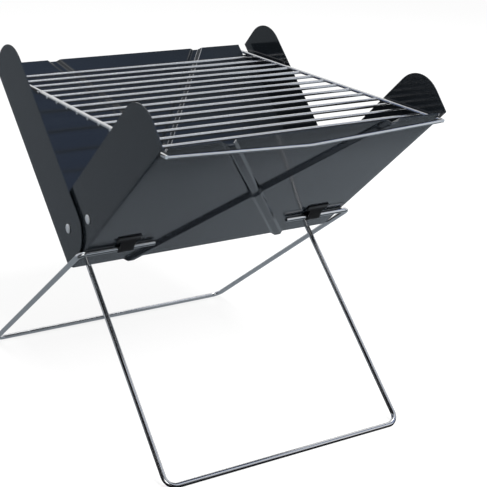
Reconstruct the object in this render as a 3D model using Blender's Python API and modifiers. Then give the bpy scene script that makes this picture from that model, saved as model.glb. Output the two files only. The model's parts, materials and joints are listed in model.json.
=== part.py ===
# Folding charcoal grill: two pressed sheet trays that hinge together as a V, a wire grate on top
# and two wire legs that cross under the V.
# X runs along the trough, Y from the front tray to the back tray and Z up. The origin is on the
# floor under the middle of the grill's outer box.

import math

import bmesh
import bpy
from mathutils import Matrix, Vector

MM = 0.001

# Clearances
TOUCH = 0.3 * MM              # between pieces that touch on the real grill
CUT_OVERRUN = 4.0 * MM        # how far a cutter reaches past what it cuts

# Trough: both trays share one side profile and mirror each other about the V's bottom line
SHEET = 0.8 * MM
TRAY_LENGTH = 275.0 * MM      # the front tray, over its ears' outer faces
PANEL_ANGLE = math.radians(47.05)   # each panel's lean from upright
FOLD_LINE_HEIGHT = 148.5 * MM       # the V's bottom line above the floor
PANEL_LENGTH = 220.0 * MM     # from the V's bottom line to a panel's top edge
PANEL_START = 0.8 * MM        # a panel's bottom edge stops this short of that line
CREASE_RADIUS = 1.0 * MM      # inside the bend between panel and ear
PIVOT_RISE = 37.17 * MM       # the ears' pivot above the V's bottom line
LOBE_RADIUS = 26.2 * MM       # the ears' round lower end, about the pivot
EAR_WIDTH = 53.2 * MM         # from a panel's mid-plane to its ear's free edge near the top
EAR_CORNER_RADIUS = 32.0 * MM # between its free edge and its top, level with the panel's top edge
ARC_STEPS = 14

# Stiffening ribs, an X pressed outward in each panel
RIB_WIDTH = 10.0 * MM
RIB_CREST = 5.0 * MM
RIB_DEPTH = 3.0 * MM
RIB_SPREAD = 80.0 * MM        # from the middle to a rib's middle at a panel's edges

# Rivets and the washers that space the ears
SHANK_RADIUS = 2.0 * MM
HEAD_RADIUS = 4.2 * MM
HEAD_HEIGHT = 1.1 * MM
TAIL_RADIUS = 3.4 * MM
TAIL_HEIGHT = 1.0 * MM
WASHER_RADIUS = 6.0 * MM
WASHER_THICKNESS = 1.1 * MM
EAR_RIVET_UP = 63.3 * MM      # the front ears' second rivet, up the panel from the V's bottom line
EAR_RIVET_IN = 17.5 * MM      # and in from the panel's mid-plane

# Legs: two bent wires whose ends turn inward and pivot in clips on the panels
LEG_WIRE_RADIUS = 2.4 * MM
LEG_WIRE_GAP = 0.4 * MM       # between a panel's outer face and the wire
LEG_BEND_RADIUS = 6.0 * MM    # at the turned-in ends, to the wire's middle
FOOT_BEND_RADIUS = 10.0 * MM
BACK_LEG_UP = 37.0 * MM       # the back leg's pivot, up the front panel
BACK_LEG_REACH = 192.0 * MM   # from the V's bottom line to the back foot bar
BACK_LEG_SIDE_GAP = 1.0 * MM  # between the back leg's arms and the back tray's ears
BACK_FOOT_TAPER = 6.5 * MM    # how much nearer each arm is to the middle at the foot
BACK_LEG_END = 70.5 * MM      # from the middle to the turned-in ends
FRONT_LEG_UP = 16.0 * MM      # the front leg's pivot, up the back panel
FRONT_LEG_SIDE_GAP = 9.5 * MM # between the front leg and the back leg's arms at the foot
FRONT_FOOT_FLARE = 3.6 * MM   # how much further each arm is from the middle at the foot
FRONT_LEG_END = 79.0 * MM
BEND_STEPS = 7

# Clips, black straps over the wires that slant down to a wide flange on the panel
CLIP_THICKNESS = 1.1 * MM
CLIP_WIDTH = 14.0 * MM
CLIP_FLANGE_WIDTH = 23.0 * MM
CLIP_FLANGE_TOP = 18.0 * MM   # above the wire's middle
CLIP_FLANGE_HEIGHT = 7.0 * MM
CLIP_SLANT_TOP = 13.5 * MM    # where the slanted strap meets the panel, above the wire's middle
CLIP_LIP = 6.0 * MM           # the lower end, below the wire's middle
BACK_LEG_CLIP_X = 100.0 * MM
FRONT_LEG_CLIP_X = 98.0 * MM

# Grate
GRATE_UP = 209.9 * MM               # where the side wires cross both panels' mid-planes
GRATE_SIDE_GAP = 1.0 * MM           # between the side wires and the front ears' inner faces
GRATE_FRAME_RADIUS = 1.7 * MM
GRATE_BAR_RADIUS = 1.5 * MM
GRATE_BAR_COUNT = 14
GRATE_BAR_MARGIN = 20.0 * MM        # from the first and last bars to the panels' mid-planes
GRATE_BAR_DROP = 0.9 * MM           # the bars' middles below the side wires' middles
HOOK_RISE = 4.3 * MM                # both outside bars lie this much further up their panels
REAR_BAR_GAP = 1.3 * MM             # between the back panel's ribs and the rear bar
FRONT_BAR_GAP = 2.4 * MM            # between the front panel's outer face and the front bar's ends
FRONT_BAR_BOW = 3.5 * MM            # how far the front bar's middle bows out over the ribs
FRONT_BAR_DIP = 5.2 * MM            # how far the front bar's middle lies down the panel
FRONT_BAR_KINK_RADIUS = 60.0 * MM
NOTCH_DROP = 3.3 * MM               # a notch's bottom below the side wires' crossing
NOTCH_SIDE_GAP = 1.0 * MM           # on the side wires' inner sides
NOTCH_ROUND = 1.5 * MM

# What follows from the sizes above
front_half = TRAY_LENGTH / 2
ear_gap = WASHER_THICKNESS + 2 * TOUCH
back_half = front_half + ear_gap + SHEET
pivot_up = PIVOT_RISE * math.cos(PANEL_ANGLE)
pivot_in = PIVOT_RISE * math.sin(PANEL_ANGLE)
leg_wire_in = -(SHEET / 2 + LEG_WIRE_GAP + LEG_WIRE_RADIUS)
back_leg_half = back_half + BACK_LEG_SIDE_GAP + LEG_WIRE_RADIUS
back_foot_half = back_leg_half - BACK_FOOT_TAPER
front_foot_half = back_foot_half - FRONT_LEG_SIDE_GAP - 2 * LEG_WIRE_RADIUS
front_leg_half = front_foot_half - FRONT_FOOT_FLARE
wire_flat = math.cos(math.pi / 8)     # an eight-sided wire's flats lie nearer its middle than its radius
foot_height = LEG_WIRE_RADIUS * wire_flat
rib_face = SHEET / 2 + RIB_DEPTH
front_edge = PANEL_LENGTH * math.sin(PANEL_ANGLE) + rib_face * math.cos(PANEL_ANGLE)
back_edge = BACK_LEG_REACH + LEG_WIRE_RADIUS * wire_flat
FOLD_LINE_Y = (front_edge - back_edge) / 2
grate_side_x = front_half - SHEET - GRATE_SIDE_GAP - GRATE_FRAME_RADIUS
hook_up = GRATE_UP + HOOK_RISE
FRONT = -1
BACK = 1


def on_panel(side, up, inward):
    """Y and Z of the point that lies `up` a tray's panel and `inward` of its mid-plane."""
    y = side * (up * math.sin(PANEL_ANGLE) - inward * math.cos(PANEL_ANGLE))
    z = up * math.cos(PANEL_ANGLE) + inward * math.sin(PANEL_ANGLE)
    return FOLD_LINE_Y + y, FOLD_LINE_HEIGHT + z


def collection(name):
    found = bpy.data.collections.new(name)
    bpy.context.scene.collection.children.link(found)
    return found


def material(name, colour, roughness, metallic):
    made = bpy.data.materials.new(name)
    made.use_nodes = True
    shader = made.node_tree.nodes["Principled BSDF"]
    shader.inputs["Base Color"].default_value = (*colour, 1.0)
    shader.inputs["Roughness"].default_value = roughness
    shader.inputs["Metallic"].default_value = metallic
    made.diffuse_color = (*colour, 1.0)
    return made


def add_object(name, data, place=None, turn=(0.0, 0.0, 0.0)):
    made = bpy.data.objects.new(name, data)
    parts.objects.link(made)
    made.location = place or (0.0, 0.0, 0.0)
    made.rotation_euler = turn
    return made


def carry(piece, carrier):
    """Parent a piece to its carrier and keep its place in the world."""
    bpy.context.view_layer.update()
    piece.parent = carrier
    piece.matrix_parent_inverse = carrier.matrix_world.inverted()


def axis_empty(name, y, z, carrier=None, turn=(0.0, 0.0, 0.0)):
    made = add_object(name, None, (0.0, y, z), turn)
    made.empty_display_size = 0.02
    if carrier:
        carry(made, carrier)
    return made


def arc(centre, radius, start, end, steps):
    """Points of an arc in a plane, from one angle in degrees to another."""
    points = []
    for step in range(steps + 1):
        angle = math.radians(start + (end - start) * step / steps)
        points.append((centre[0] + radius * math.cos(angle), centre[1] + radius * math.sin(angle)))
    return points


def rounded(corners, radii, steps):
    """A path through corners, with each inner corner turned into an arc of its radius."""
    points = [Vector(corners[0])]
    for before, corner, after, radius in zip(corners, corners[1:], corners[2:], radii):
        corner = Vector(corner)
        back = (Vector(before) - corner).normalized()
        ahead = (Vector(after) - corner).normalized()
        half = back.angle(ahead) / 2
        middle = corner + (back + ahead).normalized() * radius / math.sin(half)
        start = corner + back * radius / math.tan(half) - middle
        turn_axis = start.cross(corner + ahead * radius / math.tan(half) - middle)
        for step in range(steps + 1):
            turn = Matrix.Rotation((math.pi - 2 * half) * step / steps, 3, turn_axis)
            points.append(middle + turn @ start)
    points.append(Vector(corners[-1]))
    return points


def wire(name, points, radius, paint, place, turn=0.0):
    """A round wire along a path, turned about X, as an eight-sided tube with a flat side down."""
    curve = bpy.data.curves.new(name, "CURVE")
    curve.dimensions = "3D"
    curve.bevel_depth = radius
    curve.bevel_resolution = 2
    curve.use_fill_caps = True
    spline = curve.splines.new("POLY")
    spline.points.add(len(points) - 1)
    for target, point in zip(spline.points, points):
        target.co = (*point, 1.0)
        target.tilt = math.pi / 8 - turn
    curve.materials.append(paint)
    return add_object(name, curve, place, (turn, 0.0, 0.0))


def cutter(name, carrier, mesh):
    """A mesh that cuts its carrier, in the carrier's own axes."""
    made = bpy.data.objects.new(name, mesh)
    cutters.objects.link(made)
    made.parent = carrier
    made.hide_render = True
    made.display_type = "WIRE"
    return made


def cut(target, tool, operation="DIFFERENCE"):
    step = target.modifiers.new(tool.name, "BOOLEAN")
    step.operation = operation
    step.solver = "EXACT"
    step.object = tool


def prism(name, outline, direction, offset=(0.0, 0.0, 0.0)):
    """A flat outline of 3D points swept along a direction into a closed mesh."""
    mesh = bpy.data.meshes.new(name)
    shape = bmesh.new()
    corners = [shape.verts.new(Vector(point) + Vector(offset)) for point in outline]
    face = shape.faces.new(corners)
    swept = bmesh.ops.extrude_face_region(shape, geom=[face])
    moved = [item for item in swept["geom"] if isinstance(item, bmesh.types.BMVert)]
    bmesh.ops.translate(shape, verts=moved, vec=Vector(direction))
    bmesh.ops.recalc_face_normals(shape, faces=shape.faces)
    shape.to_mesh(mesh)
    shape.free()
    return mesh


def rod(name, radius, length, up, inward):
    """A round cutter along X through both ears."""
    mesh = bpy.data.meshes.new(name)
    shape = bmesh.new()
    across = Matrix.Translation((0.0, up, inward)) @ Matrix.Rotation(math.pi / 2, 4, "Y")
    bmesh.ops.create_cone(shape, cap_ends=True, segments=24, radius1=radius, radius2=radius,
                          depth=length, matrix=across)
    shape.to_mesh(mesh)
    shape.free()
    return mesh


def ear_outline():
    """The trays' side profile, as distance up the panel and in from it, from the pivot."""
    corner = (PANEL_LENGTH - EAR_CORNER_RADIUS, EAR_WIDTH - EAR_CORNER_RADIUS)
    across = math.hypot(corner[0] - pivot_up, corner[1] - pivot_in)
    lean = math.degrees(math.atan2(corner[1] - pivot_in, corner[0] - pivot_up))
    tangent = lean + math.degrees(math.acos((LOBE_RADIUS - EAR_CORNER_RADIUS) / across))
    below = -(rib_face + CUT_OVERRUN)
    outline = [(PANEL_START, below), (PANEL_START, 0.0)]
    outline += arc((pivot_up, pivot_in), LOBE_RADIUS, 180, tangent, ARC_STEPS)
    outline += arc(corner, EAR_CORNER_RADIUS, tangent, 0, ARC_STEPS) + [(PANEL_LENGTH, below)]
    return [(up - pivot_up, inward - pivot_in) for up, inward in outline]


def channel(name, half):
    """The bent sheet across the trough: an ear, the panel and the other ear."""
    middle = half - SHEET / 2
    bend = CREASE_RADIUS + SHEET / 2
    top = EAR_WIDTH + CUT_OVERRUN
    right = [(x, z) for x, z in arc((middle - bend, bend), bend, -90, 0, 5)] + [(middle, top)]
    left = [(-x, z) for x, z in reversed(right)]
    start = -(LOBE_RADIUS + CUT_OVERRUN)
    length = PANEL_LENGTH + LOBE_RADIUS + 2 * CUT_OVERRUN
    mesh = bpy.data.meshes.new(name)
    shape = bmesh.new()
    path = [shape.verts.new((x, start, z - pivot_in)) for x, z in left + right]
    edges = [shape.edges.new(pair) for pair in zip(path, path[1:])]
    swept = bmesh.ops.extrude_edge_only(shape, edges=edges)
    moved = [item for item in swept["geom"] if isinstance(item, bmesh.types.BMVert)]
    bmesh.ops.translate(shape, verts=moved, vec=(0.0, length, 0.0))
    shape.to_mesh(mesh)
    shape.free()
    return mesh


def rib(name, hand, base, crest, top, depth):
    """One slanted rib as a prism from below the panel's bottom edge to above its top edge."""
    slope = -hand * 2 * RIB_SPREAD / (PANEL_LENGTH - PANEL_START)
    widen = math.hypot(1.0, slope)
    overrun = CUT_OVERRUN
    start = PANEL_START - overrun
    run = PANEL_LENGTH - PANEL_START + 2 * overrun
    first_x = hand * RIB_SPREAD - slope * overrun
    section = [(-base / 2, top), (-base / 2, -SHEET / 2), (-crest / 2, -depth),
               (crest / 2, -depth), (base / 2, -SHEET / 2), (base / 2, top)]
    outline = [(first_x + x * widen, start - pivot_up, z - pivot_in) for x, z in section]
    return prism(name, outline, (slope * run, run, 0.0))


def tray(name, side, half, paint, carrier, rivet_holes):
    """A tray: bent sheet with pressed ribs, cut to the side profile, with notches and holes."""
    y, z = on_panel(side, pivot_up, pivot_in)
    flip = math.pi if side == FRONT else 0.0
    mesh = channel(name, half)
    mesh.materials.append(paint)
    body = add_object(name, mesh, (0.0, y, z), (math.pi / 2 - PANEL_ANGLE, 0.0, flip))
    wall = body.modifiers.new("sheet", "SOLIDIFY")
    wall.thickness = SHEET
    wall.offset = 0.0
    wall.use_even_offset = True
    for hand in (-1, 1):
        outer = rib(name + "_rib", hand, RIB_WIDTH, RIB_CREST, 0.0, rib_face)
        cut(body, cutter(name + "_rib_%d" % hand, body, outer), "UNION")
    groove_base = RIB_WIDTH - 2 * SHEET
    groove_crest = RIB_CREST - SHEET
    for hand in (-1, 1):
        inner = rib(name + "_groove", hand, groove_base, groove_crest, SHEET, rib_face - SHEET)
        cut(body, cutter(name + "_groove_%d" % hand, body, inner))
    outline = [(-half - CUT_OVERRUN, up, inward) for up, inward in ear_outline()]
    profile = prism(name + "_profile", outline, (2 * (half + CUT_OVERRUN), 0.0, 0.0))
    cut(body, cutter(name + "_profile", body, profile), "INTERSECT")
    for hand in (-1, 1):
        cut(body, cutter(name + "_notch_%d" % hand, body, notch(name + "_notch", hand, half)))
    for number, (up, inward) in enumerate(rivet_holes):
        hole = rod(name + "_hole", SHANK_RADIUS + TOUCH, 2 * (half + CUT_OVERRUN),
                   up - pivot_up, inward - pivot_in)
        cut(body, cutter(name + "_hole_%d" % number, body, hole))
    carry(body, carrier)
    return body


def notch(name, hand, half):
    """The slot in a panel's top edge that a side wire of the grate passes through."""
    inner = grate_side_x - GRATE_FRAME_RADIUS - NOTCH_SIDE_GAP
    outer = half - SHEET - TOUCH
    bottom = GRATE_UP - NOTCH_DROP
    low = arc((inner + NOTCH_ROUND, bottom + NOTCH_ROUND), NOTCH_ROUND, 180, 270, 3)
    low += arc((outer - NOTCH_ROUND, bottom + NOTCH_ROUND), NOTCH_ROUND, 270, 360, 3)
    top = PANEL_LENGTH + CUT_OVERRUN
    points = [(inner, top)] + low + [(outer, top)]
    depth = SHEET + CREASE_RADIUS
    outline = [(hand * x, up - pivot_up, -depth - pivot_in) for x, up in points]
    return prism(name, outline, (0.0, 0.0, 2 * depth))


def turned(name, profile, paint, place, hand):
    """A round piece turned about X from a profile of radius and height along its outward axis."""
    mesh = bpy.data.meshes.new(name)
    shape = bmesh.new()
    points = [shape.verts.new((radius, 0.0, height)) for radius, height in profile]
    for pair in zip(points, points[1:]):
        shape.edges.new(pair)
    if profile[0][0] > 0:
        shape.edges.new((points[-1], points[0]))
    shape.to_mesh(mesh)
    shape.free()
    mesh.materials.append(paint)
    made = add_object(name, mesh, place, (0.0, hand * math.pi / 2, 0.0))
    spin = made.modifiers.new("turn", "SCREW")
    spin.steps = 24
    spin.render_steps = 24
    spin.use_merge_vertices = True
    spin.merge_threshold = 0.00001
    return made


def rivet(name, grip, head_x, y, z, hand, paint, carrier):
    """A rivet with a domed head outside the ear and a flat tail inside it."""
    dome = [(HEAD_RADIUS * math.sin(angle), HEAD_HEIGHT * math.cos(angle))
            for angle in (math.radians(step * 15) for step in range(1, 6))]
    profile = [(0.0, HEAD_HEIGHT)] + dome + [(HEAD_RADIUS, 0.0), (SHANK_RADIUS, 0.0)]
    profile += [(SHANK_RADIUS, -grip), (TAIL_RADIUS, -grip)]
    profile += [(TAIL_RADIUS, -grip - TAIL_HEIGHT), (0.0, -grip - TAIL_HEIGHT)]
    made = turned(name, profile, paint, (hand * head_x, y, z), hand)
    carry(made, carrier)


def washer(name, hand, y, z, paint, carrier):
    """The spacer between the two ears on one side."""
    bore = SHANK_RADIUS + TOUCH
    profile = [(bore, WASHER_THICKNESS), (WASHER_RADIUS, WASHER_THICKNESS), (WASHER_RADIUS, 0.0),
               (bore, 0.0)]
    made = turned(name, profile, paint, (hand * (front_half + TOUCH), y, z), hand)
    carry(made, carrier)


def leg(name, half, foot_half, end, reach, paint, place, direction, carrier):
    """A U of wire with its ends turned in along the pivot axis."""
    corners = [(-end, 0, 0), (-half, 0, 0), (-foot_half, reach, 0), (foot_half, reach, 0),
               (half, 0, 0), (end, 0, 0)]
    radii = [LEG_BEND_RADIUS, FOOT_BEND_RADIUS, FOOT_BEND_RADIUS, LEG_BEND_RADIUS]
    points = rounded(corners, radii, BEND_STEPS)
    made = wire(name, points, LEG_WIRE_RADIUS, paint, (0.0, *place), direction)
    carry(made, carrier)
    return made


def clip(name, side, up, x, paint, carrier):
    """A strap over a leg's turned-in end, slanting to a flange flat on the panel above the wire."""
    wire_out = LEG_WIRE_GAP + LEG_WIRE_RADIUS
    flat = TOUCH + CLIP_THICKNESS / 2
    around = LEG_WIRE_RADIUS + TOUCH + CLIP_THICKNESS / 2
    foot = around + CLIP_THICKNESS / 2
    drop = flat - wire_out
    leave = math.atan2(drop, CLIP_SLANT_TOP) + math.acos(around / math.hypot(drop, CLIP_SLANT_TOP))
    hoop = arc((0.0, wire_out), around, 200, math.degrees(leave), 10)
    path = [(-CLIP_LIP, flat), (-foot, flat)] + hoop
    path += [(CLIP_SLANT_TOP, flat), (CLIP_FLANGE_TOP, flat)]
    mesh = bpy.data.meshes.new(name)
    shape = bmesh.new()
    left = -CLIP_FLANGE_WIDTH / 2
    line = [shape.verts.new((left, along, -out)) for along, out in path]
    edges = [shape.edges.new(pair) for pair in zip(line, line[1:])]
    swept = bmesh.ops.extrude_edge_only(shape, edges=edges)
    moved = [item for item in swept["geom"] if isinstance(item, bmesh.types.BMVert)]
    bmesh.ops.translate(shape, verts=moved, vec=(CLIP_FLANGE_WIDTH, 0.0, 0.0))
    shape.to_mesh(mesh)
    shape.free()
    mesh.materials.append(paint)
    y, z = on_panel(side, up, -SHEET / 2)
    flip = math.pi if side == FRONT else 0.0
    made = add_object(name, mesh, (x, y, z), (math.pi / 2 - PANEL_ANGLE, 0.0, flip))
    wall = made.modifiers.new("sheet", "SOLIDIFY")
    wall.thickness = CLIP_THICKNESS
    wall.offset = 0.0
    wall.use_even_offset = True
    shoulder = CLIP_FLANGE_TOP - CLIP_FLANGE_HEIGHT
    for hand in (-1, 1):
        near = hand * CLIP_WIDTH / 2
        far = hand * (CLIP_FLANGE_WIDTH / 2 + CUT_OVERRUN)
        outline = [(near, -CLIP_LIP - CUT_OVERRUN, CUT_OVERRUN), (near, shoulder, CUT_OVERRUN),
                   (far, shoulder, CUT_OVERRUN), (far, -CLIP_LIP - CUT_OVERRUN, CUT_OVERRUN)]
        side_cut = prism(name + "_side", outline, (0.0, 0.0, -2 * (wire_out + CUT_OVERRUN)))
        cut(made, cutter(name + "_side_%d" % hand, made, side_cut))
    carry(made, carrier)


def build_grate(paint, back_body):
    """The grate: bars between two side wires, with one more bar outside each panel."""
    rear_in = -(rib_face + REAR_BAR_GAP + GRATE_FRAME_RADIUS)
    rear_y, rear_z = on_panel(BACK, hook_up, rear_in)
    axis = axis_empty("grate_axis", rear_y, rear_z, back_body)
    place = (0.0, rear_y, rear_z)
    end_in = -(SHEET / 2 + FRONT_BAR_GAP + GRATE_FRAME_RADIUS)
    end_y, end_z = on_panel(FRONT, hook_up, end_in)
    middle_y, middle_z = on_panel(FRONT, hook_up - FRONT_BAR_DIP, end_in - FRONT_BAR_BOW)

    def add_wire(name, points, radius):
        local = [Vector(point) - Vector(place) for point in points]
        carry(wire(name, local, radius, paint, place), axis)

    butt = grate_side_x - GRATE_FRAME_RADIUS * wire_flat - TOUCH
    add_wire("grate_rear_bar", [(-butt, rear_y, rear_z), (butt, rear_y, rear_z)], GRATE_FRAME_RADIUS)
    front_corners = [(-butt, end_y, end_z), (0.0, middle_y, middle_z), (butt, end_y, end_z)]
    add_wire("grate_front_bar", rounded(front_corners, [FRONT_BAR_KINK_RADIUS], BEND_STEPS),
             GRATE_FRAME_RADIUS)
    side_z = on_panel(BACK, GRATE_UP, 0.0)[1]
    for name, x in (("grate_side_left", -grate_side_x), ("grate_side_right", grate_side_x)):
        ends = [(x, end_y - GRATE_FRAME_RADIUS, side_z), (x, rear_y + GRATE_FRAME_RADIUS, side_z)]
        add_wire(name, ends, GRATE_FRAME_RADIUS)
    bar_z = side_z - GRATE_BAR_DROP
    last_y = (bar_z - FOLD_LINE_HEIGHT) * math.tan(PANEL_ANGLE) - GRATE_BAR_MARGIN
    for number in range(GRATE_BAR_COUNT):
        y = FOLD_LINE_Y + last_y * (2 * number / (GRATE_BAR_COUNT - 1) - 1)
        add_wire("grate_bar_%02d" % (number + 1), [(-butt, y, bar_z), (butt, y, bar_z)],
                 GRATE_BAR_RADIUS)


for old in list(bpy.data.objects):
    bpy.data.objects.remove(old, do_unlink=True)

parts = collection("folding_grill")
cutters = collection("cutters")

slate_paint = material("slate_paint", (0.045, 0.052, 0.058), 0.25, 0.0)
bright_wire = material("bright_wire", (0.62, 0.63, 0.64), 0.18, 1.0)
bright_rivet = material("bright_rivet", (0.72, 0.72, 0.72), 0.25, 1.0)
black_clip = material("black_clip", (0.012, 0.012, 0.013), 0.4, 0.0)

pivot_y, pivot_z = on_panel(BACK, pivot_up, pivot_in)
back_axis = axis_empty("back_tray_frame", pivot_y, pivot_z)
front_axis = axis_empty("trough_fold_axis", pivot_y, pivot_z, back_axis)
pivot_hole = (pivot_up, pivot_in)
tray("back_tray", BACK, back_half, slate_paint, back_axis, [pivot_hole])
tray("front_tray", FRONT, front_half, slate_paint, front_axis,
     [pivot_hole, (EAR_RIVET_UP, EAR_RIVET_IN)])

ear_rivet_y, ear_rivet_z = on_panel(FRONT, EAR_RIVET_UP, EAR_RIVET_IN)
for word, hand in (("left", -1), ("right", 1)):
    rivet("pivot_rivet_" + word, 2 * SHEET + ear_gap + 2 * TOUCH, back_half + TOUCH, pivot_y, pivot_z,
          hand, bright_rivet, back_axis)
    washer("pivot_washer_" + word, hand, pivot_y, pivot_z, bright_rivet, back_axis)
    rivet("ear_rivet_" + word, SHEET + 2 * TOUCH, front_half + TOUCH, ear_rivet_y, ear_rivet_z,
          hand, bright_rivet, front_axis)

back_leg_y, back_leg_z = on_panel(FRONT, BACK_LEG_UP, leg_wire_in)
back_foot_y = FOLD_LINE_Y + BACK_LEG_REACH
back_drop = math.atan2(foot_height - back_leg_z, back_foot_y - back_leg_y)
back_reach = math.hypot(foot_height - back_leg_z, back_foot_y - back_leg_y)
leg("back_leg", back_leg_half, back_foot_half, BACK_LEG_END, back_reach, bright_wire,
    (back_leg_y, back_leg_z), back_drop, front_axis)

front_leg_y, front_leg_z = on_panel(BACK, FRONT_LEG_UP, leg_wire_in)
front_reach = (front_leg_z - foot_height) / math.cos(PANEL_ANGLE)
leg("front_leg", front_leg_half, front_foot_half, FRONT_LEG_END, front_reach, bright_wire,
    (front_leg_y, front_leg_z), -(math.pi / 2 + PANEL_ANGLE), back_axis)

for word, hand in (("left", -1), ("right", 1)):
    clip("back_leg_clip_" + word, FRONT, BACK_LEG_UP, hand * BACK_LEG_CLIP_X, black_clip, front_axis)
    clip("front_leg_clip_" + word, BACK, FRONT_LEG_UP, hand * FRONT_LEG_CLIP_X, black_clip, back_axis)

build_grate(bright_wire, back_axis)
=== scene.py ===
import json
import math

import bmesh
import bpy
from mathutils import Matrix, Vector
from mathutils.geometry import delaunay_2d_cdt


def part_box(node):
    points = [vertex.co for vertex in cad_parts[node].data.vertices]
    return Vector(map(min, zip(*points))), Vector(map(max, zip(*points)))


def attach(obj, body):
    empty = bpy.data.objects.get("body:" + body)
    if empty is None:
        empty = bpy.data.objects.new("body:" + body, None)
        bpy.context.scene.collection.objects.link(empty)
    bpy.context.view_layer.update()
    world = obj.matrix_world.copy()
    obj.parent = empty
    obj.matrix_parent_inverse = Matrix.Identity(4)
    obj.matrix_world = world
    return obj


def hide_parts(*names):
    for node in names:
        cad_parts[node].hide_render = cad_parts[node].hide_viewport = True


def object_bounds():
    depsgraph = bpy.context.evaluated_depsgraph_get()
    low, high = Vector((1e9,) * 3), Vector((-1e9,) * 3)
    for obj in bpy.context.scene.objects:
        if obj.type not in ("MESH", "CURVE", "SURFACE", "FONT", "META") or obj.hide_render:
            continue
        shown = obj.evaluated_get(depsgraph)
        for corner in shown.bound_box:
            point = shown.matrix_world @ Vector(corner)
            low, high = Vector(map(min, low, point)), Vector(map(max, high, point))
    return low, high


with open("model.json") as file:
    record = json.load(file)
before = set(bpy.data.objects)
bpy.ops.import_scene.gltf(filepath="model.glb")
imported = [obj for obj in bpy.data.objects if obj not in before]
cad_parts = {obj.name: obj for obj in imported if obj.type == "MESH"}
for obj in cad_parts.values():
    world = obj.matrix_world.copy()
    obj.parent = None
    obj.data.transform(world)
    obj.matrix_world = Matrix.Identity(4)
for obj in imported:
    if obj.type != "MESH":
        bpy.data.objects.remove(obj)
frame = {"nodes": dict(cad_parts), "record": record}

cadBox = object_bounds()
bodies = frame["record"]["behaviour"]["bodies"]
mm = 0.001
hair = 0.01 * mm  # lengths closer than this count as equal

# x runs along the trough, "up" runs up a tray's panel from the V's bottom line, and
# "inward" is the distance from the panel's middle into the trough
trough = dict(
    lean=47.05,  # degrees from upright
    foldLine=(-0.015436, 0.1485),  # y and z of the V's bottom line
    pivot=(25.326 * mm, 27.207 * mm),  # up and inward
)


def onPanel(side, up, inward):
    lean = math.radians(trough["lean"])
    y = side * (up * math.sin(lean) - inward * math.cos(lean))
    z = up * math.cos(lean) + inward * math.sin(lean)
    return trough["foldLine"][0] + y, trough["foldLine"][1] + z


front, back = -1, 1


def hexColour(code):
    channels = (int(code[i:i + 2], 16) / 255 for i in (1, 3, 5))
    linear = [c / 12.92 if c <= 0.04045 else ((c + 0.055) / 1.055) ** 2.4 for c in channels]
    return (*linear, 1.0)


def addNode(tree, kind, inputs=None, **settings):
    node = tree.nodes.new(kind)
    for name, value in settings.items():
        setattr(node, name, value)
    for name, value in (inputs or {}).items():
        if isinstance(value, bpy.types.NodeSocket):
            tree.links.new(value, node.inputs[name])
        else:
            node.inputs[name].default_value = value
    return node


def newMaterial(name):
    made = bpy.data.materials.new(name)
    made.use_nodes = True
    made.node_tree.nodes.clear()
    return made, made.node_tree


def meshObject(name, mesh, material=None):
    if material:
        mesh.materials.clear()
        mesh.materials.append(material)
    made = bpy.data.objects.new(name, mesh)
    bpy.context.scene.collection.objects.link(made)
    return made


def roundEdges(piece, width, angle, segments=2):
    step = piece.modifiers.new("roundedEdges", "BEVEL")
    step.width, step.segments = width, segments
    step.limit_method, step.angle_limit = "ANGLE", math.radians(angle)
    return step


def smoothFaces(mesh, angle):
    mesh.shade_smooth()
    mesh.set_sharp_from_angle(angle=math.radians(angle))


# materials: "strays" is how far the roughness goes below and above its value, "noiseSpan"
# the part of the noise that drives it, and a bump is its strength and depth
slate = dict(
    colour="#171b1f",
    deeper="#13161a",  # in the cloudy variation
    roughness=0.11, strays=(0.03, 0.03), noiseSpan=(0.3, 0.7),
    cloud=60 * mm,  # size of the soft unevenness in the sheet
    cloudBump=(0.12, 2 * mm),
    peel=1.6 * mm,  # the real coating's grain is finer than a pixel here
    peelBump=(0.02, 0.1 * mm),
)
chrome = dict(
    colour="#dddedf",
    darker="#c4c5c7",
    roughness=0.19, strays=(0.04, 0.05), noiseSpan=(0.35, 0.65),
    haze=45.0,  # uneven patches to a metre
    drawLine=0.5 * mm,  # size of the marks left by wire drawing
    drawBump=(0.08, 0.05 * mm),
)
rivetAluminium = dict(
    colour="#f4f4f4",
    roughness=0.42, strays=(0.05, 0.08), noiseSpan=(0, 1),
    dents=900.0,  # to a metre
    dentBump=(0.15, 0.1 * mm),
)
clipPaint = dict(
    colour="#0d0e10",
    roughness=0.38, strays=(0.06, 0.08), noiseSpan=(0, 1),
    grain=0.9 * mm,
    grainBump=(0.25, 0.1 * mm),
)


def addNoise(tree, perMetre, detail):
    place = addNode(tree, "ShaderNodeTexCoord").outputs["Object"]
    return addNode(tree, "ShaderNodeTexNoise", {
        "Vector": place, "Scale": perMetre, "Detail": detail}).outputs["Fac"]


def addBump(tree, height, bump, under=None):
    strength, depth = bump
    inputs = {"Height": height, "Strength": strength, "Distance": depth}
    if under is not None:
        inputs["Normal"] = under
    return addNode(tree, "ShaderNodeBump", inputs).outputs["Normal"]


def addBlend(tree, share, first, second):
    mixed = addNode(tree, "ShaderNodeMix", {
        "Factor": share, 6: hexColour(first), 7: hexColour(second)}, data_type="RGBA")
    return mixed.outputs[2]  # 6, 7 and 2 are the colour sockets


def addSurface(tree, colour, noise, normal, metallic, s):
    (low, high), (below, above) = s["noiseSpan"], s["strays"]
    gloss = addNode(tree, "ShaderNodeMapRange", {
        "Value": noise, "From Min": low, "From Max": high,
        "To Min": s["roughness"] - below, "To Max": s["roughness"] + above})
    shader = addNode(tree, "ShaderNodeBsdfPrincipled", {
        "Base Color": colour, "Metallic": metallic, "Roughness": gloss.outputs["Result"],
        "Normal": normal})
    addNode(tree, "ShaderNodeOutputMaterial", {"Surface": shader.outputs["BSDF"]})


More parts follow.
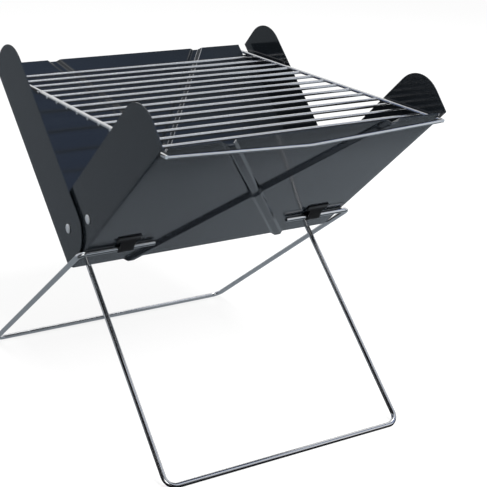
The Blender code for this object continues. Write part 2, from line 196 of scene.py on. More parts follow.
def makeSlateEnamel(s):
    # heat-proof enamel sprayed and baked on pressed steel: a deep near-black slate under a
    # glossy skin, with faint clouds in it and the slight orange peel of a sprayed coat
    made, tree = newMaterial("slateBakedEnamel")
    cloud = addNoise(tree, 1 / s["cloud"], 2.0)
    peel = addNoise(tree, 1 / s["peel"], 1.0)
    skin = addBump(tree, peel, s["peelBump"])
    wave = addBump(tree, cloud, s["cloudBump"], skin)
    addSurface(tree, addBlend(tree, cloud, s["deeper"], s["colour"]), cloud, wave, 0.0, s)
    return made


def makeChromeWire(s):
    # drawn steel wire, bent and then chrome-plated: bright but not quite a mirror, with hazier
    # patches and the drawing die's fine marks
    made, tree = newMaterial("chromePlatedWire")
    lines = addNoise(tree, 1 / s["drawLine"], 2.0)
    haze = addNoise(tree, s["haze"], 3.0)
    marks = addBump(tree, lines, s["drawBump"])
    addSurface(tree, addBlend(tree, haze, s["darker"], s["colour"]), haze, marks, 1.0, s)
    return made


def makeRivetAluminium(s):
    # cold-headed aluminium, tumbled bright: pale, with soft highlights and tiny dents
    made, tree = newMaterial("headedAluminium")
    dents = addNoise(tree, s["dents"], 2.0)
    marks = addBump(tree, dents, s["dentBump"])
    addSurface(tree, hexColour(s["colour"]), dents, marks, 1.0, s)
    return made


def makeClipPaint(s):
    # punched and bent steel strap, dipped black: satin, slightly pebbled
    made, tree = newMaterial("blackDippedSteel")
    grain = addNoise(tree, 1 / s["grain"], 2.0)
    pebbles = addBump(tree, grain, s["grainBump"])
    addSurface(tree, hexColour(s["colour"]), grain, pebbles, 0.0, s)
    return made


slateEnamel = makeSlateEnamel(slate)
chromeWire = makeChromeWire(chrome)
brightRivet = makeRivetAluminium(rivetAluminium)
blackSteel = makeClipPaint(clipPaint)
print("materials made")


def joinColumns(shape, grid, leftOut):
    for i in range(len(grid) - 1):
        for j in range(len(grid[i]) - 1):
            if not leftOut(i, j):
                shape.faces.new((grid[i][j], grid[i + 1][j], grid[i + 1][j + 1], grid[i][j + 1]))


def sheetObject(name, shape, thickness, material):
    # welds the surface up and gives it an even thickness about its middle
    loose = [v for v in shape.verts if not v.link_faces]
    bmesh.ops.delete(shape, geom=loose, context="VERTS")
    bmesh.ops.remove_doubles(shape, verts=shape.verts, dist=hair)
    bmesh.ops.recalc_face_normals(shape, faces=shape.faces)
    mesh = bpy.data.meshes.new(name)
    shape.to_mesh(mesh)
    shape.free()
    mesh.shade_smooth()
    made = meshObject(name, mesh, material)
    wall = made.modifiers.new("sheet", "SOLIDIFY")
    wall.thickness, wall.offset, wall.use_even_offset = thickness, 0, True
    return made


def spaced(low, high, cell):
    count = max(1, round((high - low) / cell))
    return [low + (high - low) * i / count for i in range(count + 1)]


# trays, one fine pressed sheet each
traySheet = dict(
    sheet=0.8 * mm,
    start=0.8 * mm,  # up to the panel's lower edge
    length=220 * mm,  # up to its upper edge
    frontHalf=137.5 * mm,
    backHalf=140.0 * mm,
    bend=1.4 * mm,  # crease radius at the sheet's middle
    earWidth=53.2 * mm,
    earCorner=32 * mm,
    lobe=26.0 * mm,  # radius of the ear's lower end, round the pivot
    notchInner=131.3 * mm,  # from the tray's middle
    notchOuter=1.1 * mm,  # from the ear's outer face
    notchBottom=206.6 * mm,
    ribDepth=3.0 * mm,
    ribCrest=2.5 * mm,  # half of the flat crest
    ribFoot=5.3 * mm,  # from the rib's middle to where its side meets the panel
    ribEase=0.5 * mm,  # rounding where crest, side and panel meet
    ribSpread=80 * mm,  # from the tray's middle to the ribs' ends
    ribOver=0.6,  # how far the ribs pile up where they cross, as a share of their depth
    rimLine=1.5 * mm,  # mesh lines that keep the flats flat: this far inside the rim,
    crestLine=0.4 * mm,  # this far inside a crest's edge
    footLine=0.6 * mm,  # and this far outside a rib's foot
    cell=3.0 * mm,  # mesh spacing up the tray
    earColumns=30,
    creaseSteps=6,
    edge=0.22 * mm,
)


def ribSteps(s):
    # distance from a rib's middle line, and the share of its depth there
    corner = s["ribEase"] / (s["ribFoot"] - s["ribCrest"])
    return [(s["ribCrest"] - s["ribEase"], 1), (s["ribCrest"], 1 - corner / 4),
            (s["ribCrest"] + s["ribEase"], 1 - corner), (s["ribFoot"] - s["ribEase"], corner),
            (s["ribFoot"], corner / 4), (s["ribFoot"] + s["ribEase"], 0)]


def ribSlope(s):
    return 2 * s["ribSpread"] / (s["length"] - s["start"])


def ribHeight(x, up, s):
    slope, steps = ribSlope(s), ribSteps(s)
    shares = []
    for hand in (-1, 1):
        middle = hand * (s["ribSpread"] - slope * (up - s["start"]))
        away = abs(x - middle) / math.hypot(1, slope)
        share = 1.0 if away <= steps[0][0] else 0.0
        for (near, high), (far, low) in zip(steps, steps[1:]):
            if near < away <= far:
                share = high + (low - high) * (away - near) / (far - near)
        shares.append(share)
    return -s["ribDepth"] * (max(shares) + s["ribOver"] * min(shares))


def earReach(inward, s):
    # lowest and highest "up" of the ear's outline at a distance inward
    pivotUp, pivotIn = trough["pivot"]
    if inward < pivotIn:
        low = s["start"] + (pivotUp - s["lobe"] - s["start"]) * inward / pivotIn
    else:
        low = pivotUp - math.sqrt(max(0, s["lobe"] ** 2 - (inward - pivotIn) ** 2))
    above = max(0, inward - (s["earWidth"] - s["earCorner"]))
    high = s["length"] - s["earCorner"] + math.sqrt(max(0, s["earCorner"] ** 2 - above ** 2))
    return low, high


def panelLines(flatEnd, rows, s):
    # the flat panel's outline, its ribs' edges and the lines that keep its flats flat
    low, high, notch, bottom = s["start"], s["length"], s["notchInner"], s["notchBottom"]
    rim = s["rimLine"]
    slope = ribSlope(s)
    slant = math.hypot(1, slope)
    lines = [[(hand * flatEnd, up) for up in rows if up <= bottom] for hand in (-1, 1)]
    lines += [[(-flatEnd, low), (flatEnd, low)], [(-notch, high), (notch, high)]]
    for hand in (-1, 1):
        lines.append([(hand * flatEnd, bottom), (hand * notch, bottom), (hand * notch, high)])
        lines.append([(hand * (notch - rim), low), (hand * (notch - rim), high)])
    for up in (low + rim, high - rim):
        lines.append([(-notch + rim, up), (notch - rim, up)])
    away = [step for step, share in ribSteps(s)]
    away = [away[0] - s["crestLine"]] + away + [away[-1] + s["footLine"]]
    for hand in (-1, 1):
        for off in [-a for a in away] + away:
            lines.append([(hand * s["ribSpread"] + off * slant, low),
                          (-hand * s["ribSpread"] + off * slant, high)])
    crossing = (low + high) / 2
    reach = (s["ribFoot"] + s["ribEase"]) * slant
    lines.append([(-reach, crossing), (reach, crossing)])
    lines.append([(0, crossing - reach / slope), (0, crossing + reach / slope)])
    return lines


def addPanel(shape, side, flatEnd, rows, s):
    spots, edges = [], []
    for line in panelLines(flatEnd, rows, s):
        edges += [(len(spots) + i, len(spots) + i + 1) for i in range(len(line) - 1)]
        spots += [Vector(spot) for spot in line]
    # output 0 fills the whole hull, so what lies in the corner notches is left out below
    spots, _, faces = delaunay_2d_cdt(spots, edges, [], 0, hair / 10)[:3]
    made = [shape.verts.new((x, *onPanel(side, up, ribHeight(x, up, s)))) for x, up in spots]
    for face in faces:
        x, up = sum((spots[i] for i in face), Vector((0, 0))) / len(face)
        if abs(x) < s["notchInner"] or up < s["notchBottom"]:
            shape.faces.new([made[i] for i in face])


def addEar(shape, side, hand, half, rows, s):
    # the ear and the crease that joins it to the panel, as columns from the free edge in
    middle = half - s["sheet"] / 2
    flatEnd = middle - s["bend"]
    columns = []
    for i in range(s["earColumns"]):
        t = i / s["earColumns"]
        columns.append((middle, s["bend"] + (s["earWidth"] - s["bend"]) * (1 - t * t)))
    for i in range(s["creaseSteps"] + 1):
        a = math.radians(90 * i / s["creaseSteps"])
        columns.append((flatEnd + s["bend"] * math.cos(a), s["bend"] * (1 - math.sin(a))))
    shares = [(up - s["start"]) / (s["length"] - s["start"]) for up in rows]
    grid = []
    for x, inward in columns:
        low, high = earReach(inward, s)
        grid.append([shape.verts.new((hand * x, *onPanel(side, low + (high - low) * share, inward)))
                     for share in shares])

    def inNotch(i, j):
        x = (columns[i][0] + columns[i + 1][0]) / 2
        return x < half - s["notchOuter"] and rows[j] > s["notchBottom"] - hair

    joinColumns(shape, grid, inNotch)


def makeTray(name, side, half, s):
    rows = spaced(s["start"], s["notchBottom"], s["cell"])
    rows += spaced(s["notchBottom"], s["length"], s["cell"])[1:]
    shape = bmesh.new()
    addPanel(shape, side, half - s["sheet"] / 2 - s["bend"], rows, s)
    for hand in (-1, 1):
        addEar(shape, side, hand, half, rows, s)
    tray = sheetObject(name, shape, s["sheet"], slateEnamel)
    roundEdges(tray, s["edge"], angle=50).harden_normals = True
    return tray


for nodeName, side, half in (("back_tray", back, traySheet["backHalf"]),
                             ("front_tray", front, traySheet["frontHalf"])):
    tray = makeTray(nodeName.replace("_", "") + "Sheet", side, half, traySheet)
    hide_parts(nodeName)
    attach(tray, nodeName)
print("trays made")


def newTree(name, output, **inputs):
    # an input is given as its label and kind, and its identifier comes back under its key
    tree = bpy.data.node_groups.new(name, "GeometryNodeTree")
    ids = {}
    for key, (label, kind) in inputs.items():
        socket = tree.interface.new_socket(name=label, in_out="INPUT",
                                           socket_type="NodeSocket" + kind)
        ids[key] = socket.identifier
    tree.interface.new_socket(name=output, in_out="OUTPUT", socket_type="NodeSocketGeometry")
    return tree, ids, addNode(tree, "NodeGroupInput").outputs


def closeTree(tree, output, geometry, material):
    real = addNode(tree, "GeometryNodeRealizeInstances", {"Geometry": geometry})
    painted = addNode(tree, "GeometryNodeSetMaterial", {
        "Geometry": real.outputs["Geometry"], "Material": material})
    addNode(tree, "NodeGroupOutput", {output: painted.outputs["Geometry"]})


def addRod(tree, curve, sides, radius):
    ring = addNode(tree, "GeometryNodeCurvePrimitiveCircle", {
        "Resolution": sides, "Radius": radius})
    return addNode(tree, "GeometryNodeCurveToMesh", {
        "Curve": curve, "Profile Curve": ring.outputs["Curve"], "Fill Caps": True})


def meshFromTree(name, given, tree, ids, **values):
    # runs the tree on a given mesh and gives back the plain mesh that it makes
    helper = meshObject(name, given)
    step = helper.modifiers.new(tree.name, "NODES")
    step.node_group = tree
    for key, value in values.items():
        step[ids[key]] = value
    graph = bpy.context.evaluated_depsgraph_get()
    mesh = bpy.data.meshes.new_from_object(helper.evaluated_get(graph))
    bpy.data.objects.remove(helper)
    bpy.data.meshes.remove(given)
    mesh.name = name
    bend = mesh.attributes.get("bend")
    if bend:
        mesh.attributes.remove(bend)
    return mesh


def bentWireTree():
    # turns a line of corners into a bent round wire
    tree, ids, given = newTree(
        "bentWire", "Wire",
        corners=("Corners", "Geometry"), radius=("Wire radius", "Float"), sides=("Sides", "Int"),
        bendSteps=("Bend steps", "Int"), material=("Material", "Material"))
    line = addNode(tree, "GeometryNodeMeshToCurve", {"Mesh": given["Corners"]})
    bend = addNode(tree, "GeometryNodeInputNamedAttribute", {"Name": "bend"}, data_type="FLOAT")
    bent = addNode(tree, "GeometryNodeFilletCurve", {
        "Curve": line.outputs["Curve"], "Count": given["Bend steps"],
        "Radius": bend.outputs["Attribute"], "Limit Radius": True}, mode="POLY")
    tube = addRod(tree, bent.outputs["Curve"], given["Sides"], given["Wire radius"])
    closeTree(tree, "Wire", tube.outputs["Mesh"], given["Material"])
    return tree, ids


wireTree, wireIds = bentWireTree()


def cornerLines(name, lines):
    # each line is a list of corners with the bend radius at each
    verts, edges, bends = [], [], []
    for line in lines:
        first = len(verts)
        verts += [spot for spot, bend in line]
        bends += [bend for spot, bend in line]
        edges += [(first + i, first + i + 1) for i in range(len(line) - 1)]
    mesh = bpy.data.meshes.new(name)
    mesh.from_pydata(verts, edges, [])
    mesh.attributes.new("bend", "FLOAT", "POINT").data.foreach_set("value", bends)
    return mesh


def bentWire(name, lines, s):
    mesh = meshFromTree(name, cornerLines(name + "Corners", lines), wireTree, wireIds,
                        radius=s["radius"], sides=s["sides"], bendSteps=s["bendSteps"],
                        material=chromeWire)
    smoothFaces(mesh, angle=40)
    wire = meshObject(name, mesh)
    roundEdges(wire, s["endChamfer"], angle=60, segments=3)
    return wire


# legs, one bent wire each: places are y and z, and x is measured from the middle
legWire = dict(radius=2.4 * mm, sides=28, bendSteps=12, endChamfer=0.5 * mm)
backLeg = dict(
    half=143.4 * mm,
    footHalf=136.9 * mm,
    end=70.5 * mm,  # where the turned-in ends stop
    pivot=(-0.0446984, 0.1713681),
    foot=(0.176564, 0.0022173),
    bend=6 * mm,
    footBend=10 * mm,
)
frontLeg = dict(
    half=119.0 * mm,
    footHalf=122.6 * mm,
    end=79 * mm,
    pivot=(-0.0015445, 0.1570595),
    foot=(-0.1678821, 0.0022173),
    bend=6 * mm,
    footBend=10 * mm,
)


def legLine(s):
    (py, pz), (fy, fz) = s["pivot"], s["foot"]
    spots = [(s["end"], py, pz, 0), (s["half"], py, pz, s["bend"]),
             (s["footHalf"], fy, fz, s["footBend"])]
    line = [((-x, y, z), bend) for x, y, z, bend in spots]
    return line + [((x, y, z), bend) for x, y, z, bend in reversed(spots)]


for name, node, leg in (("backLegWire", "back_leg", backLeg),
                        ("frontLegWire", "front_leg", frontLeg)):
    wire = bentWire(name, [legLine(leg)], legWire)
    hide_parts(node)
    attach(wire, node)
print("legs made")

# grate: a frame of four bent wires, and a row of welded bars
grateFrame = dict(
    radius=1.7 * mm, sides=22, bendSteps=8, endChamfer=0.35 * mm,
    sideX=134.0 * mm,
    sideHeight=0.29153,
    over=1.7 * mm,  # a side wire's end past the middle of the outside bar
    sunk=0.6,  # how far short of a side wire's middle the bars stop, in wire radii
    rearAt=(214.2 * mm, -6.4 * mm),  # up the panel and inward
    frontAt=(214.2 * mm, -4.5 * mm),
    frontMiddleAt=(209.0 * mm, -8.0 * mm),
    frontBend=60 * mm,
)
grateBars = dict(
    count=14,
    first=-0.14812,  # y of the bar by the front panel
    last=0.11724,
    height=0.29063,
    half=136.2 * mm,
    radius=1.5 * mm, sides=18, endChamfer=0.3 * mm,
    weldX=133.4 * mm,
    weldSize=1.7 * mm,
    weldShape=(0.9, 1.35, 0.62),
)


def frameLines(s):
    ry, rz = onPanel(back, *s["rearAt"])
    fy, fz = onPanel(front, *s["frontAt"])
    my, mz = onPanel(front, *s["frontMiddleAt"])
    lines = []
    for x in (-s["sideX"], s["sideX"]):
        lines.append([((x, fy - s["over"], s["sideHeight"]), 0),
                      ((x, ry + s["over"], s["sideHeight"]), 0)])
    reach = s["sideX"] - s["radius"] * s["sunk"]
    lines.append([((-reach, ry, rz), 0), ((reach, ry, rz), 0)])
    lines.append([((-reach, fy, fz), 0), ((0, my, mz), s["frontBend"]), ((reach, fy, fz), 0)])
    return lines


def grateBarTree(s):
    tree, ids, given = newTree(
        "grateBars", "Bars",
        count=("Bars", "Int"), start=("First bar", "Vector"), pitch=("Pitch", "Vector"),
        half=("Half length", "Vector"), radius=("Bar radius", "Float"), sides=("Sides", "Int"),
        weldAt=("Weld place", "Vector"), weldSize=("Weld size", "Float"),
        material=("Material", "Material"))
    row = addNode(tree, "GeometryNodeMeshLine", {
        "Count": given["Bars"], "Start Location": given["First bar"], "Offset": given["Pitch"]},
        mode="OFFSET", count_mode="TOTAL")
    other = addNode(tree, "ShaderNodeVectorMath", {0: given["Half length"], 3: -1.0},
                    operation="SCALE")
    middle = addNode(tree, "GeometryNodeCurvePrimitiveLine", {
        "Start": other.outputs["Vector"], "End": given["Half length"]})
    bar = addRod(tree, middle.outputs["Curve"], given["Sides"], given["Bar radius"])
    bars = addNode(tree, "GeometryNodeInstanceOnPoints", {
        "Points": row.outputs["Mesh"], "Instance": bar.outputs["Mesh"]})
    bead = addNode(tree, "GeometryNodeMeshUVSphere", {
        "Segments": 12, "Rings": 8, "Radius": given["Weld size"]})
    weld = addNode(tree, "GeometryNodeTransform", {
        "Geometry": bead.outputs["Mesh"], "Scale": s["weldShape"]})
    joined = addNode(tree, "GeometryNodeJoinGeometry")
    tree.links.new(bars.outputs["Instances"], joined.inputs["Geometry"])
    for hand in (-1.0, 1.0):
        at = addNode(tree, "ShaderNodeVectorMath", {0: given["Weld place"], 1: (hand, 1.0, 1.0)},
                     operation="MULTIPLY")
        moved = addNode(tree, "GeometryNodeTransform", {
            "Geometry": weld.outputs["Geometry"], "Translation": at.outputs["Vector"]})
        welds = addNode(tree, "GeometryNodeInstanceOnPoints", {
            "Points": row.outputs["Mesh"], "Instance": moved.outputs["Geometry"]})
        tree.links.new(welds.outputs["Instances"], joined.inputs["Geometry"])
    closeTree(tree, "Bars", joined.outputs["Geometry"], given["Material"])
    return tree, ids


def makeGrateBars(s):
    tree, ids = grateBarTree(s)
    pitch = (s["last"] - s["first"]) / (s["count"] - 1)
    rise = (grateFrame["sideHeight"] - s["height"]) / 2
    mesh = meshFromTree(
        "grateBars", bpy.data.meshes.new("empty"), tree, ids,
        count=s["count"], start=(0.0, s["first"], s["height"]), pitch=(0.0, pitch, 0.0),
        half=(s["half"], 0.0, 0.0), radius=s["radius"], sides=s["sides"],
        weldAt=(s["weldX"], 0.0, rise), weldSize=s["weldSize"], material=chromeWire)
    smoothFaces(mesh, angle=40)
    bars = meshObject("grateBars", mesh)
    roundEdges(bars, s["endChamfer"], angle=60)
    return bars


frameWire = bentWire("grateFrame", frameLines(grateFrame), grateFrame)
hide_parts("grate_side_left", "grate_side_right", "grate_front_bar", "grate_rear_bar")
barSet = makeGrateBars(grateBars)
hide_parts(*[n for n in bodies["grate"] if n.startswith("grate_bar_")])
for piece in (frameWire, barSet):
    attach(piece, "grate")
print("grate made")

# rivets: the lines are shares of radius and of depth or height along a half outline
rivetHead = dict(
    radius=4.2 * mm, height=1.25 * mm,
    dome=0.82,  # share of the head's height that is rounded
    domeAngles=range(24, 91, 6),  # degrees from the rivet's axis
    under=0.97,  # radius of the head where it lies on the tray, as a share
    dimple=1.3 * mm, dimpleDepth=0.45 * mm,
    dimpleLine=((0, 1), (0.6, 0.9), (0.9, 0.3)),
    shank=2.0 * mm,
    tail=3.4 * mm, tailHeight=1.0 * mm,
    tailLine=((0.95, 0), (1, 0.3), (0.8, 0.9), (0.55, 1), (0.4, 0.6), (0, 0.5)),
    seat=1.1 * mm,  # from the solid head's outer face in to where the head lies
    pivotGrip=4.9 * mm,  # from head to tail
    earGrip=1.4 * mm,
    earAt=(63.3 * mm, 17.5 * mm),  # up the front panel and inward
    steps=40,
    hub=6 * mm,
)


def turnedPairTree():
    # turns a half outline round z and puts one on each side, heads outwards
    tree, ids, given = newTree(
        "turnedPair", "Pair",
        outline=("Outline", "Geometry"), steps=("Steps round", "Int"), hub=("Hub radius", "Float"),
        place=("Place on the right", "Vector"), material=("Material", "Material"))
    outline = addNode(tree, "GeometryNodeMeshToCurve", {"Mesh": given["Outline"]})
    hub = addNode(tree, "GeometryNodeCurvePrimitiveCircle", {
        "Resolution": given["Steps round"], "Radius": given["Hub radius"]})
    turned = addNode(tree, "GeometryNodeCurveToMesh", {
        "Curve": hub.outputs["Curve"], "Profile Curve": outline.outputs["Curve"]})
    closed = addNode(tree, "GeometryNodeMergeByDistance", {
        "Geometry": turned.outputs["Mesh"], "Distance": hair / 5})
    joined = addNode(tree, "GeometryNodeJoinGeometry")
    for hand in (-1.0, 1.0):
        at = addNode(tree, "ShaderNodeVectorMath", {
            0: given["Place on the right"], 1: (hand, 1.0, 1.0)}, operation="MULTIPLY")
        one = addNode(tree, "GeometryNodeTransform", {
            "Geometry": closed.outputs["Geometry"], "Translation": at.outputs["Vector"],
            "Rotation": (0.0, -hand * math.pi / 2, 0.0)})
        tree.links.new(one.outputs["Geometry"], joined.inputs["Geometry"])
    closeTree(tree, "Pair", joined.outputs["Geometry"], given["Material"])
    return tree, ids


turnedTree, turnedIds = turnedPairTree()


def turnedPair(name, profile, s, place):
    # the outline stands out from the hub circle, so the hub's radius comes off it
    outline = bpy.data.meshes.new(name + "Outline")
    outline.from_pydata([(radius - s["hub"], height, 0) for radius, height in profile],
                        [(i, i + 1) for i in range(len(profile) - 1)], [])
    mesh = meshFromTree(name, outline, turnedTree, turnedIds, steps=s["steps"], hub=s["hub"],
                        place=place, material=brightRivet)
    shape = bmesh.new()
    shape.from_mesh(mesh)
    bmesh.ops.recalc_face_normals(shape, faces=shape.faces)
    shape.to_mesh(mesh)
    shape.free()
    smoothFaces(mesh, angle=50)
    return meshObject(name, mesh)


def rivetProfile(s, grip):
    dimple = [(s["dimple"] * out, s["height"] - s["dimpleDepth"] * depth)
              for out, depth in s["dimpleLine"]]
    angles = [math.radians(angle) for angle in s["domeAngles"]]
    dome = [(s["radius"] * math.sin(a), s["height"] * (1 - s["dome"] + s["dome"] * math.cos(a)))
            for a in angles]
    shank = [(s["radius"] * s["under"], 0), (s["shank"], 0), (s["shank"], -grip)]
    tail = [(s["tail"] * out, -grip - s["tailHeight"] * height) for out, height in s["tailLine"]]
    return dimple + dome + shank + tail


def makeRivets(s):
    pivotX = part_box("pivot_rivet_right")[1][0] - s["seat"]
    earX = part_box("ear_rivet_right")[1][0] - s["seat"]
    pivots = turnedPair("pivotRivets", rivetProfile(s, s["pivotGrip"]), s,
                        (pivotX, *onPanel(back, *trough["pivot"])))
    ears = turnedPair("earRivets", rivetProfile(s, s["earGrip"]), s,
                      (earX, *onPanel(front, *s["earAt"])))
    return pivots, ears


pivotRivets, earRivets = makeRivets(rivetHead)
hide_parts("pivot_rivet_left", "pivot_rivet_right")
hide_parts("ear_rivet_left", "ear_rivet_right")
for piece, body in ((pivotRivets, "back_tray"), (earRivets, "front_tray")):
    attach(piece, body)
for word in ("left", "right"):
    frame["nodes"]["pivot_washer_" + word].material_slots[0].material = brightRivet
print("rivets made")

# clips over the legs' turned-in ends: lengths up the panel are from the wire's middle
clipStrap = dict(
    thickness=1.1 * mm, width=14 * mm,
    lip=6 * mm,  # how far the strap reaches below the wire
    lead=0.4 * mm,  # its flat stretch ends this far below the part wrapped round the wire
    stand=2.8 * mm,  # the wire's middle out from the panel
    clear=0.3 * mm,  # to the wire and to the panel
    wrapFrom=200,  # degrees, where the strap starts round the wire
    wrapSteps=18,
    slantLine=0.35,  # a mesh line this far up the slant, as a share
    slantTop=13.5 * mm,
    landing=((-0.8 * mm, 0.12 * mm), (0.6 * mm, 0)),  # up and out from the slant's top
    flange=23 * mm, flangeTop=18 * mm, flangeHeight=7 * mm,
    corner=1.2 * mm,  # cut off the flange's upper corners
    cell=2.6 * mm, wingCell=1.6 * mm,  # mesh spacing across the strap and its wings
    edge=0.3 * mm,
    backLegUp=37 * mm, backLegX=100 * mm,
    frontLegUp=16 * mm, frontLegX=98 * mm,
)


def clipPath(s, wireRadius):
    # up the panel from the wire's middle, and out from the panel's outer face
    flat = s["clear"] + s["thickness"] / 2
    around = wireRadius + s["clear"] + s["thickness"] / 2
    foot = around + s["thickness"] / 2
    drop = flat - s["stand"]
    leave = math.degrees(math.atan2(drop, s["slantTop"])
                         + math.acos(around / math.hypot(drop, s["slantTop"])))
    path = [(-s["lip"], flat), (-foot - s["lead"], flat)]
    for i in range(s["wrapSteps"] + 1):
        a = math.radians(s["wrapFrom"] + (leave - s["wrapFrom"]) * i / s["wrapSteps"])
        path.append((around * math.cos(a), s["stand"] + around * math.sin(a)))
    shoulder = s["flangeTop"] - s["flangeHeight"]
    tangent = path[-1]
    for t in (s["slantLine"], (shoulder - tangent[0]) / (s["slantTop"] - tangent[0])):
        path.append(tuple(a + (b - a) * t for a, b in zip(tangent, (s["slantTop"], flat))))
    path += [(s["slantTop"] + up, flat + out) for up, out in s["landing"]]
    return path + [(s["flangeTop"] - s["corner"], flat), (s["flangeTop"], flat)]


def makeClips(name, side, up, x, s):
    path = clipPath(s, legWire["radius"])
    shoulder = s["flangeTop"] - s["flangeHeight"] - hair
    outerFace = -traySheet["sheet"] / 2
    strap = spaced(-s["width"] / 2, s["width"] / 2, s["cell"])
    wing = spaced(s["width"] / 2, s["flange"] / 2, s["wingCell"])[1:]
    columns = [-c for c in reversed(wing)] + strap + wing

    def besideStrap(i, j):
        isWing = abs(columns[i] + columns[i + 1]) / 2 > s["width"] / 2
        return isWing and path[j][0] < shoulder

    shape = bmesh.new()
    for hand in (-1, 1):
        grid = []
        for c in columns:
            line = []
            for along, out in path:
                if abs(c) > s["flange"] / 2 - hair and along > s["flangeTop"] - hair:
                    along -= s["corner"]
                spot = (hand * x + c, *onPanel(side, up + along, outerFace - out))
                line.append(shape.verts.new(spot))
            grid.append(line)
        joinColumns(shape, grid, besideStrap)
    clips = sheetObject(name, shape, s["thickness"], blackSteel)
    roundEdges(clips, s["edge"], angle=50)
    return clips


for name, nodes, body, side, up, x in (
        ("backLegClips", "back_leg_clip_", "front_tray", front,
         clipStrap["backLegUp"], clipStrap["backLegX"]),
        ("frontLegClips", "front_leg_clip_", "back_tray", back,
         clipStrap["frontLegUp"], clipStrap["frontLegX"])):
    clips = makeClips(name, side, up, x, clipStrap)
    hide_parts(nodes + "left", nodes + "right")
    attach(clips, body)
print("clips made")

# the sides and soft boxes, and the floor's painted reflection glow, are seen by gloss alone
studio = dict(
    floorColour="#f2f2f2",
    floorRadius=6.0,
    floorDrop=0.2 * mm,  # below the feet
    floorGlow=0.8,  # share of plain white that the floor shows to the camera
    sky="#ffffff",
    skyLight=0.8,
    sides=((0.03, "#06080b"), (0.13, "#b4bac2"), (0.20, "#ffffff"), (0.33, "#f4f7fc"),
           (0.40, "#8096c8"), (0.46, "#6d84b6"), (0.55, "#2c3444"), (0.67, "#ffffff")),
    sidesAlong=(0.7, 0.8, 0.0),  # the first side lies against this direction, the last along it
    sidesSpan=(-0.5, 0.9),  # how far along it a direction is at the sides' places 0 and 1
    softBoxes=(  # towards, cosines where it fades in, strength
        ((0.10, 0.15, 0.98), 0.955, 0.985, 7.0),
        ((-0.45, -0.78, 0.44), 0.955, 0.985, 3.0),
    ),
    # painted reflection: the floor glows this colour to gloss alone, in painted dark and pale bands
    mirrored="#e6f1fb",
    paintedReflectionY=(-0.5, 0.1),  # y at the places 0 and 1 of the next line
    paintedReflectionShares=((0.12, 0.9), (0.36, 0.03), (0.68, 0.03), (0.80, 0.55)),
    paintedReflectionX=(0.05, 0.33, 0.60, 0.86),  # from and to in x, and the strength at each
    aim=(0, 0, 0.15),  # of both lamps
    key=dict(place=(0.0, -1.15, 1.65), size=0.8, watts=70),
    fill=dict(place=(1.3, 1.0, 1.3), size=1.0, watts=12),
)
photoCamera = dict(
    place=(-0.56077, -0.935306, 0.54157),
    yaw=32.39,  # degrees, turned from +Y towards +X
    pitch=20.55,  # degrees below the horizon
    roll=2.13,
    lens=90.24,  # mm, and the next line too
    sensor=36,
    shift=(0.0373, 0.0251),
)


def setRamp(node, stops):
    ramp = node.color_ramp.elements
    while len(ramp) < len(stops):
        ramp.new(0.5)
    for stop, (place, colour) in zip(ramp, stops):
        stop.position, stop.color = place, colour


def makeFloor(s):
    # white to the camera but for the shadow; to gloss it glows as a painted reflection: a painted
    # dark band around the front leg, painted pale in front of that and under the grill, and
    # brighter to the right
    made, tree = newMaterial("whitePaperSweep")
    matt = addNode(tree, "ShaderNodeBsdfDiffuse", {"Color": hexColour(s["floorColour"])})
    glow = addNode(tree, "ShaderNodeEmission", {"Color": (1, 1, 1, 1), "Strength": 1.0})
    seen = addNode(tree, "ShaderNodeLightPath")
    direct = addNode(tree, "ShaderNodeMath", {0: seen.outputs["Is Camera Ray"], 1: s["floorGlow"]},
                     operation="MULTIPLY")
    mixed = addNode(tree, "ShaderNodeMixShader", {
        0: direct.outputs[0], 1: matt.outputs[0], 2: glow.outputs[0]})
    place = addNode(tree, "ShaderNodeSeparateXYZ", {
        "Vector": addNode(tree, "ShaderNodeNewGeometry").outputs["Position"]})
    low, high = s["paintedReflectionY"]
    along = addNode(tree, "ShaderNodeMapRange", {
        "Value": place.outputs["Y"], "From Min": low, "From Max": high})
    bands = addNode(tree, "ShaderNodeValToRGB", {"Fac": along.outputs["Result"]})
    setRamp(bands, [(at, (share, share, share, 1)) for at, share in s["paintedReflectionShares"]])
    near, far, weak, strong = s["paintedReflectionX"]
    across = addNode(tree, "ShaderNodeMapRange", {
        "Value": place.outputs["X"], "From Min": near, "From Max": far,
        "To Min": weak, "To Max": strong})
    pale = addNode(tree, "ShaderNodeMath", {0: bands.outputs["Color"], 1: across.outputs["Result"]},
                   operation="MULTIPLY")
    # painted reflection: an emission that gloss alone sees, painted dark before the grill and pale
    # around it
    mirrored = addNode(tree, "ShaderNodeEmission", {
        "Color": hexColour(s["mirrored"]), "Strength": pale.outputs["Value"]})
    either = addNode(tree, "ShaderNodeMixShader", {
        0: seen.outputs["Is Glossy Ray"], 1: mixed.outputs[0], 2: mirrored.outputs[0]})
    addNode(tree, "ShaderNodeOutputMaterial", {"Surface": either.outputs[0]})
    shape = bmesh.new()
    bmesh.ops.create_circle(shape, cap_ends=True, segments=64, radius=s["floorRadius"])
    mesh = bpy.data.meshes.new("paperSweep")
    shape.to_mesh(mesh)
    shape.free()
    mesh.transform(Matrix.Translation((0, 0, cadBox[0][2] - s["floorDrop"])))
    floor = meshObject("paperSweep", mesh, made)


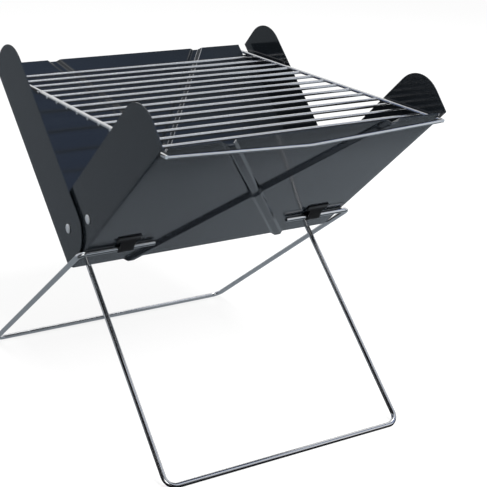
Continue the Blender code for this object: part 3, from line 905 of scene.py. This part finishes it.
def makeWorld(s):
    world = bpy.data.worlds.new("studio")
    bpy.context.scene.world = world
    world.use_nodes = True
    tree = world.node_tree
    tree.nodes.clear()
    seen = addNode(tree, "ShaderNodeLightPath")
    light = addNode(tree, "ShaderNodeBackground", {
        "Color": hexColour(s["sky"]), "Strength": s["skyLight"]})
    white = addNode(tree, "ShaderNodeBackground", {"Color": (1, 1, 1, 1), "Strength": 1.0})
    towards = addNode(tree, "ShaderNodeTexCoord").outputs["Generated"]
    lean = addNode(tree, "ShaderNodeVectorMath", {0: towards, 1: s["sidesAlong"]},
                   operation="DOT_PRODUCT")
    low, high = s["sidesSpan"]
    share = addNode(tree, "ShaderNodeMapRange", {
        "Value": lean.outputs["Value"], "From Min": low, "From Max": high})
    bands = addNode(tree, "ShaderNodeValToRGB", {"Fac": share.outputs["Result"]})
    setRamp(bands, [(at, hexColour(colour)) for at, colour in s["sides"]])
    shine = bands.outputs["Color"]
    for direction, near, far, strength in s["softBoxes"]:
        facing = addNode(tree, "ShaderNodeVectorMath", {0: towards, 1: direction},
                         operation="DOT_PRODUCT")
        box = addNode(tree, "ShaderNodeMapRange", {
            "Value": facing.outputs["Value"], "From Min": near, "From Max": far,
            "To Max": strength})
        shine = addNode(tree, "ShaderNodeVectorMath", {0: shine, 1: box.outputs["Result"]},
                        operation="ADD").outputs["Vector"]
    mirrored = addNode(tree, "ShaderNodeBackground", {"Color": shine, "Strength": 1.0})
    gloss = addNode(tree, "ShaderNodeMixShader", {
        0: seen.outputs["Is Glossy Ray"], 1: light.outputs[0], 2: mirrored.outputs[0]})
    mixed = addNode(tree, "ShaderNodeMixShader", {
        0: seen.outputs["Is Camera Ray"], 1: gloss.outputs[0], 2: white.outputs[0]})
    addNode(tree, "ShaderNodeOutputWorld", {"Surface": mixed.outputs[0]})


def makeLamp(name, aim, s):
    data = bpy.data.lights.new(name, "AREA")
    data.energy, data.size = s["watts"], s["size"]
    lamp = bpy.data.objects.new(name, data)
    lamp.location = s["place"]
    lamp.rotation_euler = (Vector(aim) - Vector(s["place"])).to_track_quat("-Z", "Y").to_euler()
    lamp.visible_glossy = False  # gloss mirrors the soft boxes instead
    bpy.context.scene.collection.objects.link(lamp)


def makeCamera(s):
    yaw, pitch, roll = (math.radians(s[key]) for key in ("yaw", "pitch", "roll"))
    level = Vector((math.sin(yaw), math.cos(yaw), 0)) * math.cos(pitch)
    ahead = level - Vector((0, 0, math.sin(pitch)))
    right = Vector((math.cos(yaw), -math.sin(yaw), 0))
    up = right.cross(ahead)
    across = right * math.cos(roll) + up * math.sin(roll)
    above = up * math.cos(roll) - right * math.sin(roll)
    data = bpy.data.cameras.new("camera")
    data.lens, data.sensor_width = s["lens"], s["sensor"]
    data.shift_x, data.shift_y = s["shift"]
    camera = bpy.data.objects.new("camera", data)
    turn = Matrix((across, above, -ahead)).transposed().to_4x4()
    camera.matrix_world = Matrix.Translation(s["place"]) @ turn
    bpy.context.scene.collection.objects.link(camera)
    bpy.context.scene.camera = camera


makeFloor(studio)
makeWorld(studio)
makeLamp("key", studio["aim"], studio["key"])
makeLamp("fill", studio["aim"], studio["fill"])
makeCamera(photoCamera)
bpy.context.scene.view_settings.view_transform = "Standard"
print("studio made")
